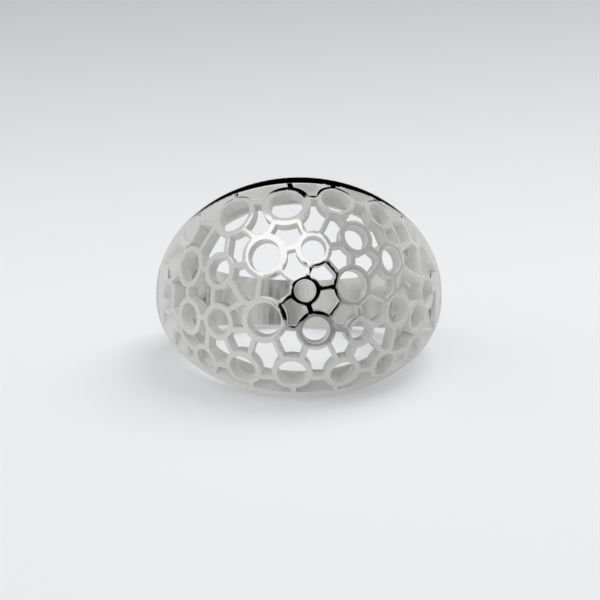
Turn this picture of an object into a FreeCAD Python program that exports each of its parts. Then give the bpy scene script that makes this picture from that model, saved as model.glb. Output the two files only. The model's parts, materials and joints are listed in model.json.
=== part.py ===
import FreeCAD, Part
import math
import os

# Openwork dome ring in silver: a pierced dome on a finger band, lying on its side.
# Lengths are in millimetres and angles in degrees.
#
# The ring is modelled in its own axes first: X across the hand, Y along the finger and
# Z from the middle of the finger hole up through the dome. main() then lays it down on
# the front of the rim and the back of the shank, with the dome facing -Y, the floor at
# Z = 0 and the origin under the middle of the ring.

# Finger hole and its lining
finger_radius = 8.675          # US size 7
lining_wall = 1.0              # at the top of the finger hole
lining_end = 2.45              # from the window of the lining to the side of the dome
lining_edge = 2.3              # from the window of the lining to the dome's front or back

# Dome
dome_half_width = 12.75        # across the hand
dome_half_length = 9.65        # along the finger
crown_height = 6.3             # from the top of the lining to the top of the dome
dome_wall = 1.0
rim_height = 2.0               # the plain rim between the openwork and the lining
rim_lean = 2.7                 # the rim's top edge leans, higher at the back of the dome
rim_lip = 0.071                # how far the rim stands out from the lining
tip_length = 0.75              # the shoulders' tips, which close the ends of the openwork

# Flanks, shoulders and shank
flank_half_width = 3.0         # half the width of the ring beside the finger hole
shoulder_top = 2.6             # level of the seats for the lining
shoulder_bottom = -3.4         # level where the shoulders meet the shank
shank_back_wall = 1.3
shank_half_width = 1.92        # at the back of the finger

# Openwork
focus_height = 3.5             # every opening is cut along a line through this point
strut_width = 0.46
cell_reach = 24.0              # the widest angle from a cell's middle to its corner

# Round openings: angle across, angle along the finger, radius, width of the collar
round_openings = [
    (-7.5, 33, 1.5, 0.7), (-15.5, 10.5, 1.47, 0.6), (5, 13.5, 1.12, 0.5),
    (1.5, -3.5, 0.96, 0.42), (-15.5, -15.5, 1.54, 0.55), (6.5, -19.5, 1.22, 0.55),
    (21.5, -1, 1.4, 0.45), (17, 36, 1.3, 0.45), (24, 19, 1.13, 0.5),
    (42, 11, 1.2, 0.5), (26.5, -19.5, 0.92, 0.5), (46, -10, 1.22, 0.5),
    (-33.5, 29, 1.6, 0.5), (-36.5, 5, 1.17, 0.5), (-55.5, 8, 1.4, 0.45),
    (-63, 24.5, 1.3, 0.45), (-38, -16, 1.17, 0.5), (-56.5, -13, 1.2, 0.5),
    (-75.5, -3.5, 1.2, 0.4), (-30, -36.5, 1.25, 0.5), (-4, -38.5, 1.3, 0.5),
    (22.5, -38, 1.17, 0.5), (70, -1, 1.2, 0.4), (62, -12, 1.15, 0.4),
    (40.5, 31, 1.1, 0.45), (-53, -32, 1.0, 0.45), (46.5, -33.5, 1.05, 0.45),
    (66, -25, 1.0, 0.4), (-70.5, -23.5, 1.0, 0.4),
]

# Middles of the many-sided openings: angle across, angle along the finger
cell_middles = [
    (-19, 43), (5, 48), (31, 43), (-20, 26), (-6, 20), (6, 25), (13.5, 21.5), (26, 29),
    (36, 20), (-2.5, 7.5), (-24, -0.5), (-10.5, -2.5), (9, 3), (10, -7.5), (-3.5, -12.5),
    (16, 9.5), (27, 9), (19, -14), (32, -11), (36, 1), (52, 0), (18, -24), (38, -21),
    (-4, -25), (-16.5, -29), (9, -29), (33, -28), (-28, -24), (-41, -27), (-40, 15),
    (-27, 15), (-52, 32), (-72, 12), (-65, -3), (-47, -4), (-32, -6), (57, 13), (70, 12),
    (54, -20), (-28, -15), (-16, -52.5), (9, -52), (-45, -43), (-66, -33), (36, -45),
    (61, -34), (-53, 22), (-53, -22.5), (51, 24), (54, 35), (-77, -15), (76, -12), (43, 22),
    (-76, 22), (64, 27), (77, 22), (78, -22),
]

# Worked out from the values above
arch_height = finger_radius + lining_wall
dome_height = arch_height + crown_height
back_radius = finger_radius + shank_back_wall
window_half_width = dome_half_width - lining_end
window_half_length = dome_half_length - lining_edge
openwork_half_width = dome_half_width - tip_length
# The shoulders' outer surface meets the edge of the rim all along the dome's sides.
side_length = dome_half_length / math.sqrt(1 - (arch_height / dome_height) ** 2)
# The flanks spread until they reach the rim's lip at the top of the lining.
flank_slope = (dome_half_length - rim_lip - flank_half_width) / arch_height
# The cutters pass the wall on both sides, also where they go through it at a slant.
cutter_depth = 3 * dome_wall
cutter_height = 1.5 * dome_wall
reach = 2 * (dome_half_width + dome_height)    # longer than anything here
origin = FreeCAD.Vector(0, 0, 0)
focus = FreeCAD.Vector(0, 0, focus_height)
x_axis = FreeCAD.Vector(1, 0, 0)


def block(low, high):
    size = [b - a for a, b in zip(low, high)]
    return Part.makeBox(size[0], size[1], size[2], FreeCAD.Vector(*low))


def between_levels(low, high):
    return block((-reach, -reach, low), (reach, reach, high))


def oval_bar(first, second, along):
    """A straight bar of oval section, centred on the origin."""
    if first.Length < second.Length:
        first, second = second, first
    edge = Part.Ellipse(first, second, origin).toShape()
    face = Part.Face(Part.Wire([edge]))
    face.translate(along * -0.5)
    return face.extrude(along)


def arch_bar(height):
    """The space under an arch as wide as the dome and as high as given."""
    return oval_bar(
        FreeCAD.Vector(dome_half_width, 0, 0), FreeCAD.Vector(0, 0, height),
        FreeCAD.Vector(0, reach, 0),
    )


def upright_bar(half_width, half_length):
    return oval_bar(
        FreeCAD.Vector(half_width, 0, 0), FreeCAD.Vector(0, half_length, 0),
        FreeCAD.Vector(0, 0, reach),
    )


def finger_bar(radius):
    start = FreeCAD.Vector(0, -reach / 2, 0)
    return Part.makeCylinder(radius, reach, start, FreeCAD.Vector(0, 1, 0))


def arched_solid(half_width, half_length, arch, crown):
    """A solid whose cross sections are ovals, centred on an arch and shrinking to its feet."""
    side = math.sqrt(0.5)
    half_turn = [(-1, 0, 1), (-1, 1, side), (0, 1, 1), (1, 1, side), (1, 0, 1)]
    full_turn = [
        (0, 1, 1), (1, 1, side), (1, 0, 1), (1, -1, side), (0, -1, 1),
        (-1, -1, side), (-1, 0, 1), (-1, 1, side), (0, 1, 1),
    ]
    poles = []
    weights = []
    for sine, cosine, weight in half_turn:
        row = []
        for across, up, turn_weight in full_turn:
            height = cosine * (arch + crown * up)
            row.append(FreeCAD.Vector(half_width * sine, cosine * half_length * across, height))
        poles.append(row)
        weights.append([weight * turn_weight for across, up, turn_weight in full_turn])
    surface = Part.BSplineSurface()
    surface.buildFromPolesMultsKnots(
        poles, [3, 2, 3], [3, 2, 2, 2, 3], [0, 1, 2], [0, 1, 2, 3, 4],
        False, False, 2, 2, weights,
    )
    solid = Part.Solid(Part.Shell([surface.toShape()]))
    if solid.Volume < 0:
        solid.reverse()
    return solid


def flank_body():
    """Everything between the two flanks of the ring."""
    back_slope = (flank_half_width - shank_half_width) / back_radius
    corners = [
        (flank_half_width + flank_slope * reach, reach),
        (flank_half_width, 0),
        (shank_half_width - back_slope * shank_back_wall, -back_radius - shank_back_wall),
    ]
    corners += [(-y, z) for y, z in reversed(corners)]
    points = [FreeCAD.Vector(-reach / 2, y, z) for y, z in corners]
    face = Part.Face(Part.makePolygon(points + points[:1]))
    return face.extrude(FreeCAD.Vector(reach, 0, 0))


def solid_band():
    """The oval body of shank and shoulders, higher above the middle than below it."""
    halves = []
    for height, levels in ((dome_height, (0, reach)), (back_radius, (-reach, 0))):
        ball = Part.makeSphere(1, origin, FreeCAD.Vector(0, 1, 0))
        stretch = FreeCAD.Matrix()
        stretch.scale(dome_half_width, side_length, height)
        oval = ball.transformGeometry(stretch).common(flank_body())
        halves.append(oval.common(between_levels(*levels)))
    return halves[0].fuse(halves[1])


def direction(across, along):
    a = math.radians(across)
    b = math.radians(along)
    return FreeCAD.Vector(math.sin(a) * math.cos(b), math.sin(b), math.cos(a) * math.cos(b))


def distance_to_dome(way):
    """How far the dome's outer surface lies from the focus, in the given direction."""
    accuracy = 1e-6
    near = 0.0
    far = reach
    while far - near > accuracy:
        middle = (near + far) / 2
        point = focus + way * middle
        arch = 1 - (point.x / dome_half_width) ** 2
        crown = arch - (point.y / dome_half_length) ** 2
        inside = crown > 0 and point.z < (
            arch_height * math.sqrt(arch) + crown_height * math.sqrt(crown)
        )
        if inside:
            near = middle
        else:
            far = middle
    return near


def near_each_other(first, second):
    return direction(*first[:2]).dot(direction(*second[:2])) > math.cos(math.radians(2 * cell_reach))


def cone_cutter(across, along, radius, margin=0.0):
    """A cone from the focus; the radius is the one at the dome's outer surface."""
    way = direction(across, along)
    distance = distance_to_dome(way)
    near = distance - cutter_depth - margin
    far = distance + cutter_height + margin
    return Part.makeCone(
        radius * near / distance, radius * far / distance, far - near, focus + way * near, way
    )


def clip(corners, normal_a, normal_b, offset):
    """Keep the part of a flat outline where normal . point + offset is not negative."""
    kept = []
    for here, there in zip(corners, corners[1:] + corners[:1]):
        here_side = normal_a * here[0] + normal_b * here[1] + offset
        there_side = normal_a * there[0] + normal_b * there[1] + offset
        if here_side >= 0:
            kept.append(here)
        if here_side * there_side < 0:
            share = here_side / (here_side - there_side)
            kept.append(tuple(h + share * (t - h) for h, t in zip(here, there)))
    return kept


def cell_outline(middle, others, half_strut):
    """Corners of one cell on the plane one unit from the focus, half way to its neighbours."""
    first = middle.cross(FreeCAD.Vector(0, 1, 0)).normalize()
    second = middle.cross(first)
    bound = math.tan(math.radians(cell_reach))
    corners = [(-bound, -bound), (bound, -bound), (bound, bound), (-bound, bound)]
    for other in others:
        apart = (middle - other).normalize()
        corners = clip(
            corners, apart.dot(first), apart.dot(second), apart.dot(middle) - half_strut
        )
    return [middle + first * a + second * b for a, b in corners]


def cell_cutter(place):
    """A tapering cutter for one many-sided opening, kept clear of the collars."""
    middle = direction(*place)
    others = [direction(*c) for c in cell_middles if c != place and near_each_other(place, c)]
    distance = distance_to_dome(middle)
    outline = cell_outline(middle, others, strut_width / 2 / distance)
    rings = []
    for level in (distance - cutter_depth, distance + cutter_height):
        points = [focus + corner * level for corner in outline]
        rings.append(Part.makePolygon(points + points[:1]))
    cutter = Part.makeLoft(rings, True, True)
    collars = []
    for across, along, radius, collar in round_openings:
        if near_each_other(place, (across, along)):
            collars.append(cone_cutter(across, along, radius + collar, cutter_depth))
    return cutter.cut(collars)


def dome_shell():
    outside = arched_solid(dome_half_width, dome_half_length, arch_height, crown_height)
    inside = arched_solid(
        dome_half_width - dome_wall, dome_half_length - dome_wall,
        arch_height, crown_height - dome_wall,
    )
    between = block((-openwork_half_width, -reach, 0), (openwork_half_width, reach, reach))
    return outside.common(between).cut([inside, arch_bar(arch_height)])


def under_openwork():
    """The space up to the top edge of the rim."""
    space = arch_bar(arch_height + rim_height)
    space.rotate(origin, x_axis, rim_lean)
    return space


def dome_rim(shell):
    return shell.common(under_openwork())


def openwork_dome(shell):
    cutters = [cell_cutter(place) for place in cell_middles]
    cutters += [cone_cutter(a, b, radius) for a, b, radius, collar in round_openings]
    return shell.cut(under_openwork()).cut(cutters)


def finger_lining():
    """The sleeve between the finger hole and the rim, open under the dome."""
    body = arch_bar(arch_height).common(upright_bar(dome_half_width, dome_half_length))
    body = body.common(flank_body()).common(between_levels(shoulder_top, reach))
    return body.cut([finger_bar(finger_radius), upright_bar(window_half_width, window_half_length)])


def finger_band():
    """Shank and shoulders in one."""
    body = solid_band().cut(finger_bar(finger_radius))
    body = body.common(upright_bar(dome_half_width, dome_half_length))
    return body.common(between_levels(-reach, shoulder_top))


def shank(band):
    return band.common(between_levels(-reach, shoulder_bottom))


def shoulder(band, side):
    """One side of the band, with the tip that closes the dome's end."""
    body = band.common(between_levels(shoulder_bottom, reach)).common(half_space(side, 0))
    tip = arched_solid(dome_half_width, dome_half_length, arch_height, crown_height)
    tip = tip.common(half_space(side, openwork_half_width))
    tip = tip.common(between_levels(shoulder_top, reach)).cut(arch_bar(arch_height))
    return body.fuse(tip).removeSplitter()


def half_space(side, start):
    """Everything beyond the given distance from the middle, on the side given as 1 or -1."""
    low, high = sorted((side * start, side * reach))
    return block((low, -reach, -reach), (high, reach, reach))


def lowest(shape, tilt):
    """The lowest level of a shape when the ring has turned about the X axis."""
    turned = shape.copy()
    turned.rotate(origin, x_axis, tilt)
    return turned.optimalBoundingBox(False, False).ZMin


def resting_tilt(rim, back):
    """The turn that brings the rim and the back of the shank to the same level."""
    accuracy = 1e-4
    low = 0.0
    high = 90.0
    while high - low > accuracy:
        tilt = (low + high) / 2
        if lowest(rim, tilt) < lowest(back, tilt):
            high = tilt
        else:
            low = tilt
    return tilt


def main():
    os.makedirs("parts", exist_ok=True)
    shell = dome_shell()
    band = finger_band()
    pieces = {
        "openwork_dome": openwork_dome(shell),
        "dome_rim": dome_rim(shell),
        "finger_lining": finger_lining(),
        "left_shoulder": shoulder(band, -1),
        "right_shoulder": shoulder(band, 1),
        "shank": shank(band),
    }
    tilt = resting_tilt(pieces["dome_rim"], pieces["shank"])
    for shape in pieces.values():
        shape.rotate(origin, x_axis, tilt)
    floor = min(shape.optimalBoundingBox(False, False).ZMin for shape in pieces.values())
    front = min(shape.optimalBoundingBox(False, False).YMin for shape in pieces.values())
    back = max(shape.optimalBoundingBox(False, False).YMax for shape in pieces.values())
    lift = FreeCAD.Vector(0, -(front + back) / 2, -floor)
    for name, shape in pieces.items():
        shape.translate(lift)
        shape.exportStep(f"parts/{name}.step")
        print(name, shape.isValid(), len(shape.Solids), round(shape.Volume, 3))
    print("tilt", round(tilt, 3), "axis at", round(lift.y, 3), round(lift.z, 3))


main()
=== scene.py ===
import json
import math

import bmesh
import bpy
from mathutils import Matrix, Vector
from mathutils.bvhtree import BVHTree


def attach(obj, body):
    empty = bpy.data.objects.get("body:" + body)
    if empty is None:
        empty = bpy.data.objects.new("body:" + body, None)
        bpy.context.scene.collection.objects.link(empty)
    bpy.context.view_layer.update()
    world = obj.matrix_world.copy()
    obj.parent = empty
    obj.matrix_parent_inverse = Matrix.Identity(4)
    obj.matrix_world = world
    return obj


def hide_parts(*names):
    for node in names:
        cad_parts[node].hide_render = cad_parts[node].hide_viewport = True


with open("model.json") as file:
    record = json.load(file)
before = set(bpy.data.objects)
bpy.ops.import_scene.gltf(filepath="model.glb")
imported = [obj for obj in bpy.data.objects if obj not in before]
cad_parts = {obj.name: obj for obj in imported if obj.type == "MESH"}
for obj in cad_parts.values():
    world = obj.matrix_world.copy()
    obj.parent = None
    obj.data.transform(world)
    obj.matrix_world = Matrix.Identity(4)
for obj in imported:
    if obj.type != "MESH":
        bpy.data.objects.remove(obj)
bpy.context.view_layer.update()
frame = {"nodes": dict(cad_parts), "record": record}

MM = 0.001
DEGREES = 180 / math.pi         # in a radian
FINGER_HOLE = frame["record"]["mounts"][0]

# The finishes, in the order of every piece's material slots.
POLISHED, WHITE, IN_HOLE = range(3)

MERGE = 0.002 * MM              # points nearer than this are one point
ON_SURFACE = 0.02 * MM          # points nearer than this to the finger hole's wall lie on it
CONTACT = 0.05 * MM             # faces nearer than this touch
EDGE_ROUNDING = 0.06 * MM       # how far a free edge is cut back
EDGE_TURN = math.radians(35)    # an edge that turns less is part of a curved surface
FLAT_TURN = math.radians(0.1)   # neighbours that turn less are one flat face
TONGUE = 0.4 * MM               # how far a shoulder's tip reaches into the dome's wall


# ---------------------------------------------------------------- shader maths

class Wire:
    """A socket's value that can be used in ordinary arithmetic."""

    def __init__(self, shader, socket):
        self.shader = shader
        self.socket = socket

    def maths(self, operation, *others):
        values = [self, *others]
        made = self.shader.node("ShaderNodeMath", {"operation": operation}, dict(enumerate(values)))
        return made.out(0)

    def __add__(self, other):
        return self.maths("ADD", other)

    def __radd__(self, other):
        return self.maths("ADD", other)

    def __sub__(self, other):
        return self.maths("SUBTRACT", other)

    def __rsub__(self, other):
        return self.shader.number(other).maths("SUBTRACT", self)

    def __mul__(self, other):
        return self.maths("MULTIPLY", other)

    def __rmul__(self, other):
        return self.maths("MULTIPLY", other)


class Made:
    """A node, with its outputs as wires."""

    def __init__(self, shader, node):
        self.shader = shader
        self.node = node

    def out(self, name):
        return Wire(self.shader, self.node.outputs[name])


class Shader:
    """The node tree of one material or of the world."""

    def __init__(self, owner):
        owner.use_nodes = True
        self.tree = owner.node_tree
        self.tree.nodes.clear()

    def node(self, kind, settings=None, inputs=None):
        """A node of any kind: its settings come first, then the values or wires of its sockets."""
        node = self.tree.nodes.new(kind)
        for name, value in (settings or {}).items():
            setattr(node, name, value)
        for name, value in (inputs or {}).items():
            if isinstance(value, Wire):
                self.tree.links.new(value.socket, node.inputs[name])
            else:
                node.inputs[name].default_value = value
        return Made(self, node)

    def number(self, value):
        made = self.node("ShaderNodeValue")
        made.node.outputs[0].default_value = value
        return made.out(0)

    def mix_colour(self, share, first, second):
        made = self.node("ShaderNodeMix", {"data_type": "RGBA"}, {0: share, 6: first, 7: second})
        return made.out(2)

    def grey(self, level):
        return self.node("ShaderNodeCombineColor", {}, {0: level, 1: level, 2: level}).out("Color")

    def step(self, value, start, end):
        """0 below start, 1 above end, and smooth between."""
        made = self.node(
            "ShaderNodeMapRange", {"interpolation_type": "SMOOTHSTEP"},
            {"Value": value, "From Min": start, "From Max": end},
        )
        return made.out("Result")

    def noise(self, place, cells, detail):
        """A cloudy pattern with this many cells to a metre."""
        made = self.node("ShaderNodeTexNoise", {}, {"Vector": place, "Scale": cells, "Detail": detail})
        return made.out("Fac")


def towards(level, target, share):
    """A level that is moved a share of the way to its target."""
    return level + share * (target - level)


def azimuth_of(sides):
    """The angle round the ring in degrees: 0 in front of the dome and 90 on its +X side."""
    return sides.out("X").maths("ARCTAN2", sides.out("Y") * -1) * DEGREES


# ---------------------------------------------------------------- materials

def silver(name, roughness, wander, metallic, waves, grain):
    """Silver whose roughness wanders over the surface; waves and grain are heights in metres."""
    dull_silver = (0.90, 0.905, 0.885, 1.0)
    pale_silver = (0.955, 0.96, 0.94, 1.0)
    cloud_cells, polish_cells, wave_cells, grain_cells = 260.0, 900.0, 420.0, 6000.0
    material = bpy.data.materials.new(name)
    shader = Shader(material)
    place = shader.node("ShaderNodeTexCoord").out("Object")
    cloud = shader.step(shader.noise(place, cloud_cells, 4.0), 0.35, 0.7)
    polish = shader.step(shader.noise(place, polish_cells, 3.0), 0.35, 0.75)
    wave = shader.noise(place, wave_cells, 1.0)
    height = wave * waves + shader.noise(place, grain_cells, 2.0) * grain
    bump = shader.node("ShaderNodeBump", {}, {"Strength": 1.0, "Distance": 1.0, "Height": height})
    surface = shader.node(
        "ShaderNodeBsdfPrincipled", {},
        {
            "Base Color": shader.mix_colour(cloud, dull_silver, pale_silver),
            "Metallic": metallic,
            "Roughness": roughness + wander * polish,
            "Normal": bump.out("Normal"),
        },
    )
    shader.node("ShaderNodeOutputMaterial", {}, {"Surface": surface.out("BSDF")})
    return material


def table_colour(shader, sides, distance):
    """White in front of the ring, darker grey behind it as painted shade, and an even pale grey far away.
    """
    white = (0.905, 0.91, 0.925, 1.0)
    # painted shade: the grey the table takes behind the ring, where less light is meant to reach
    painted_shade_behind = (0.485, 0.50, 0.53, 1.0)
    far_grey = (0.79, 0.79, 0.80, 1.0)
    slant = 0.25
    # painted shade: the mask that darkens the table behind the ring
    back = shader.step(sides.out("Y") - sides.out("X") * slant, 0.01, 0.19)
    far = shader.step(distance, 0.25, 0.9)
    return shader.mix_colour(far, shader.mix_colour(back, white, painted_shade_behind), far_grey)


def painted_table_reflection(shader, azimuth, distance):
    """Painted reflection: the level the table glows with in the silver, dark in front like a dark camera
    mirrored there, paler on the left and behind.
    """
    plain, left_gain, front_loss, behind_level = 0.47, 0.13, 0.37, 0.62
    darkest_azimuth = 12
    aside = (azimuth - darkest_azimuth).maths("ABSOLUTE")
    behind = shader.step(azimuth.maths("ABSOLUTE"), 90, 150)
    left = 1 - shader.step(azimuth, -30, 40)
    # painted reflection of a dark camera in front of the ring
    front = shader.step(distance, 0.020, 0.036) * (1 - shader.step(aside, 10, 45))
    # painted reflection levels: paler on the left, darker in front
    level = plain + left_gain * left - front_loss * front
    return shader.grey(towards(level, behind_level, behind))


def table_top():
    """A matt white table that also glows: painted light for the camera, which makes the ring's shadow on
    it paler, and a painted reflection level in the silver.
    """
    seen_share, mirrored_share, strength = 0.36, 0.85, 0.97
    material = bpy.data.materials.new("white_table")
    shader = Shader(material)
    place = shader.node("ShaderNodeTexCoord").out("Object")
    sides = shader.node("ShaderNodeSeparateXYZ", {}, {"Vector": place})
    distance = (sides.out("X") * sides.out("X") + sides.out("Y") * sides.out("Y")).maths("SQRT")
    colour = table_colour(shader, sides, distance)
    rays = shader.node("ShaderNodeLightPath")
    seen = rays.out("Is Camera Ray")
    mirrored = rays.out("Is Glossy Ray")
    painted_reflection = painted_table_reflection(shader, azimuth_of(sides), distance)
    glow = shader.mix_colour(mirrored, colour, painted_reflection)
    # painted light: the table glows for camera rays, so the ring's shadow is paler, and shows the painted
    # reflection to mirror rays
    painted_glow_share = seen * seen_share + mirrored * mirrored_share
    matt = shader.node("ShaderNodeBsdfDiffuse", {}, {"Color": colour}).out("BSDF")
    # the glow of painted light and painted reflection
    even = shader.node("ShaderNodeEmission", {}, {"Color": glow, "Strength": strength}).out("Emission")
    surface = shader.node("ShaderNodeMixShader", {}, {0: painted_glow_share, 1: matt, 2: even})
    shader.node("ShaderNodeOutputMaterial", {}, {"Surface": surface.out("Shader")})
    return material


# ---------------------------------------------------------------- pieces

class Ring:
    """The ring's sizes and its own axes: x across the hand, y along the finger, z up the dome."""

    def __init__(self):
        self.middle = Vector(FINGER_HOLE["pos_m"])
        self.along = Vector(FINGER_HOLE["axis"]).normalized()
        self.across = Vector((1, 0, 0))
        self.up = self.across.cross(self.along)
        self.radius = FINGER_HOLE["dims"]["r_mm"] * MM
        rim_end = max(self.points("dome_rim"), key=lambda point: point.y)
        self.half_width = max(point.x for point in self.points("right_shoulder"))
        self.half_length = rim_end.y
        self.arch = rim_end.z
        self.crown = max(point.z for point in self.points("openwork_dome")) - self.arch

    def turned(self, way):
        return Vector((way.dot(self.across), way.dot(self.along), way.dot(self.up)))

    def place(self, point):
        return self.turned(point - self.middle)

    def points(self, node):
        return [self.place(vertex.co) for vertex in frame["nodes"][node].data.vertices]

    def on_hole(self, face):
        places = [self.place(vertex.co) for vertex in face.verts]
        return all(abs(math.hypot(point.x, point.z) - self.radius) < ON_SURFACE for point in places)

    def on_dome(self, face):
        return all(self.touches_dome(self.place(vertex.co)) for vertex in face.verts)

    def touches_dome(self, point):
        """Whether a point lies on the dome's outer surface, whose cross sections are ovals."""
        just_inside = 0.985
        shrink = math.sqrt(max(1e-6, 1 - (point.x / self.half_width) ** 2))
        across = point.y / (self.half_length * shrink)
        up = (point.z - self.arch * shrink) / (self.crown * shrink)
        return math.hypot(across, up) > just_inside

    def on_flank(self, face):
        """Whether a face looks along the finger, away from the ring's middle."""
        mostly = 0.5
        point = self.place(face.calc_center_median())
        return self.turned(face.normal).y * math.copysign(1, point.y) > mostly

    def closes_dome(self, face):
        """Whether this is a shoulder's flat inner face, at the end of the openwork."""
        straight_inward = -0.99
        point = self.place(face.calc_center_median())
        inward = self.turned(face.normal).x * math.copysign(1, point.x) < straight_inward
        return inward and not self.on_hole(face)

    def finish(self, node, face):
        """Polished outside, and white in the openings, inside and on the band's flanks."""
        if self.on_hole(face):
            return IN_HOLE
        if node in ("openwork_dome", "dome_rim"):
            return POLISHED if self.on_dome(face) else WHITE
        return WHITE if node == "finger_lining" or self.on_flank(face) else POLISHED


def other_surfaces(node):
    """The surfaces of all the other pieces, made ready to be searched."""
    surfaces = []
    for name, thing in frame["nodes"].items():
        if name != node:
            shape = bmesh.new()
            shape.from_mesh(thing.data)
            surfaces.append(BVHTree.FromBMesh(shape))
            shape.free()
    return surfaces


def lies_against(face, surfaces):
    """Whether a face lies back to back with one of the surfaces."""
    back_to_back = -0.9
    middle = face.calc_center_median()
    for surface in surfaces:
        place, normal = surface.find_nearest(middle, CONTACT)[:2]
        if place is not None and normal.dot(face.normal) < back_to_back:
            return True
    return False


def hidden_faces(shape, node):
    """The faces that lie against another piece, each with the rest of its flat face."""
    surfaces = other_surfaces(node)
    hidden = {face for face in shape.faces if lies_against(face, surfaces)}
    waiting = list(hidden)
    while waiting:
        face = waiting.pop()
        for neighbour in {other for side in face.edges for other in side.link_faces} - hidden:
            if neighbour.normal.dot(face.normal) > math.cos(FLAT_TURN):
                hidden.add(neighbour)
                waiting.append(neighbour)
    return hidden


def reach_into_dome(shape, ring):
    """Lengthen a shoulder's tip inside the dome's wall, so that no groove is left beside it."""
    tip = [face for face in shape.faces if ring.closes_dome(face)]
    outline = {vertex for face in tip for vertex in face.verts}
    inward = -math.copysign(TONGUE, tip[0].calc_center_median().x)
    made = bmesh.ops.extrude_face_region(shape, geom=tip)
    moved = [item for item in made["geom"] if isinstance(item, bmesh.types.BMVert)]
    bmesh.ops.translate(shape, verts=moved, vec=(inward, 0, 0))
    return {vertex for vertex in outline.union(moved) if vertex.is_valid}


def soften(shape, hidden, tongue):
    """Round the free edges, and leave those of the tongue and of hidden faces sharp."""
    free = []
    for side in shape.edges:
        if tongue.issuperset(side.verts):
            side.smooth = False
        elif len(side.link_faces) == 2 and side.calc_face_angle(0.0) > EDGE_TURN:
            if hidden.isdisjoint(side.link_faces):
                free.append(side)
            else:
                side.smooth = False
    rounded = bmesh.ops.bevel(
        shape, geom=free, offset=EDGE_ROUNDING, offset_type="OFFSET", segments=2, profile=0.5,
        affect="EDGES", material=-1, clamp_overlap=True,
    )
    for face in rounded["faces"]:
        face.material_index = POLISHED


def dressed(node, ring, finishes):
    """The finished piece over a CAD node: the same shape with its free edges softened."""
    shape = bmesh.new()
    shape.from_mesh(frame["nodes"][node].data)
    bmesh.ops.remove_doubles(shape, verts=shape.verts, dist=MERGE)
    tongue = set()
    if node in ("left_shoulder", "right_shoulder"):
        tongue = reach_into_dome(shape, ring)
    for face in shape.faces:
        face.material_index = WHITE if tongue.issuperset(face.verts) else ring.finish(node, face)
    soften(shape, hidden_faces(shape, node), tongue)
    for face in shape.faces:
        face.smooth = True
    mesh = bpy.data.meshes.new(node + "_finished")
    shape.to_mesh(mesh)
    shape.free()
    for finish in finishes:
        mesh.materials.append(finish)
    piece = bpy.data.objects.new(node + "_finished", mesh)
    bpy.context.scene.collection.objects.link(piece)
    normals = piece.modifiers.new("even_normals", "WEIGHTED_NORMAL")
    normals.keep_sharp = True
    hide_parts(node)
    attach(piece, "root")


# ---------------------------------------------------------------- stage

def table():
    half_side = 1.2
    mesh = bpy.data.meshes.new("table")
    shape = bmesh.new()
    bmesh.ops.create_grid(shape, x_segments=1, y_segments=1, size=half_side)
    shape.to_mesh(mesh)
    shape.free()
    mesh.materials.append(table_top())
    piece = bpy.data.objects.new("table", mesh)
    bpy.context.scene.collection.objects.link(piece)


def patch(shader, azimuth, elevation, middle, half_sizes, tilt, soft):
    """1 inside a tilted oval of the surroundings, falling to 0 outside it; angles in degrees."""
    cosine = math.cos(math.radians(tilt))
    sine = math.sin(math.radians(tilt))
    across = azimuth - middle[0]
    up = elevation - middle[1]
    along = (across * cosine + up * sine) * (1 / half_sizes[0])
    aside = (up * cosine - across * sine) * (1 / half_sizes[1])
    distance = (along * along + aside * aside).maths("SQRT")
    return 1 - shader.step(distance, 1 - soft, 1 + soft)


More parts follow.
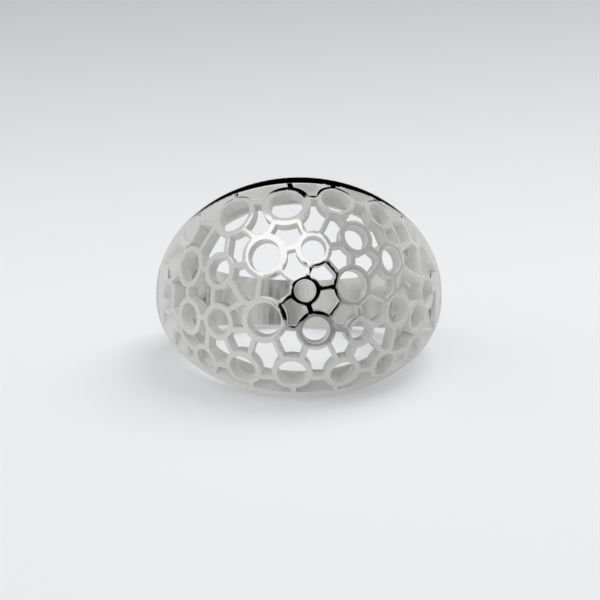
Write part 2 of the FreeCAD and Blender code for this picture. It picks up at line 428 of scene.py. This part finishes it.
def surroundings():
    """A grey studio with a white screen and black cards, and a plain backdrop for the camera."""
    studio_level, backdrop_level = 0.58, 0.66
    world = bpy.data.worlds.new("studio")
    bpy.context.scene.world = world
    shader = Shader(world)
    way = shader.node("ShaderNodeTexCoord").out("Generated")
    sides = shader.node("ShaderNodeSeparateXYZ", {}, {"Vector": way})
    azimuth = azimuth_of(sides)
    elevation = sides.out("Z").maths("ARCSINE") * DEGREES

    # An area has a level, the azimuth and elevation of its middle, half sizes across and up,
    # a tilt and the softness of its edge. Later ones cover earlier ones. Those behind the ring
    # take the azimuth without its sign, so their two halves are alike.
    dim_wall = (0.40, (60, 25), (50, 50), 0, 0.3)
    white_screen = (1.0, (-28, 52), (60, 24), 0, 0.22)
    dark_corner = (0.26, (22, 0), (38, 30), 0, 0.35)
    black_card = (0.0, (7, 12), (40, 16), 22, 0.12)
    pale_strip_behind = (0.7, (180, -4), (60, 16), 0, 0.3)
    black_card_behind = (0.0, (180, 32), (29, 47), 0, 0.12)
    level = shader.number(studio_level)
    for angle, areas in (
        (azimuth, (dim_wall, white_screen, dark_corner, black_card)),
        (azimuth.maths("ABSOLUTE"), (pale_strip_behind, black_card_behind)),
    ):
        for area_level, middle, half_sizes, tilt, soft in areas:
            share = patch(shader, angle, elevation, middle, half_sizes, tilt, soft)
            level = towards(level, area_level, share)
    seen = shader.node("ShaderNodeLightPath").out("Is Camera Ray")
    colour = shader.grey(towards(level, backdrop_level, seen))
    surface = shader.node("ShaderNodeBackground", {}, {"Color": colour, "Strength": 1.0})
    shader.node("ShaderNodeOutputWorld", {}, {"Surface": surface.out("Background")})


def lamp(name, place, side, power):
    """A square lamp that points at the ring and isn't mirrored in the silver."""
    light = bpy.data.lights.new(name, "AREA")
    light.shape = "SQUARE"
    light.size = side
    light.energy = power
    holder = bpy.data.objects.new(name, light)
    holder.location = place
    holder.rotation_euler = Vector(place).to_track_quat("Z", "Y").to_euler()
    holder.visible_glossy = False
    bpy.context.scene.collection.objects.link(holder)


def camera():
    azimuth, elevation, roll = (math.radians(angle) for angle in (-0.81, 17.24, 0.98))
    distance = 450 * MM
    aim_from_hole = Vector((0.107, -0.402, 0)) * MM
    back = Vector((
        math.sin(azimuth) * math.cos(elevation),
        -math.cos(azimuth) * math.cos(elevation),
        math.sin(elevation),
    ))
    turn = (-back).to_track_quat("-Z", "Y") @ Matrix.Rotation(roll, 3, "Z").to_quaternion()
    data = bpy.data.cameras.new("camera")
    data.sensor_width = 36.0
    data.lens = 302.3
    data.clip_start = 0.01
    data.clip_end = 5.0
    holder = bpy.data.objects.new("camera", data)
    holder.location = Vector(FINGER_HOLE["pos_m"]) + turn @ aim_from_hole + back * distance
    holder.rotation_mode = "QUATERNION"
    holder.rotation_quaternion = turn
    bpy.context.scene.collection.objects.link(holder)
    bpy.context.scene.camera = holder


camera()
ring = Ring()
finishes = (
    silver("polished_silver", roughness=0.06, wander=0.06, metallic=1.0, waves=0.010 * MM, grain=0.0),
    silver("white_silver", roughness=0.38, wander=0.15, metallic=0.3, waves=0.004 * MM, grain=0.002 * MM),
    silver("finger_hole_silver", roughness=0.12, wander=0.06, metallic=0.75, waves=0.005 * MM, grain=0.0),
)
for node in frame["nodes"]:
    dressed(node, ring, finishes)
table()
surroundings()
lamp("overhead", place=(0.25, 0.3, 0.7), side=0.6, power=3.4)
bpy.context.scene.view_settings.view_transform = "Standard"
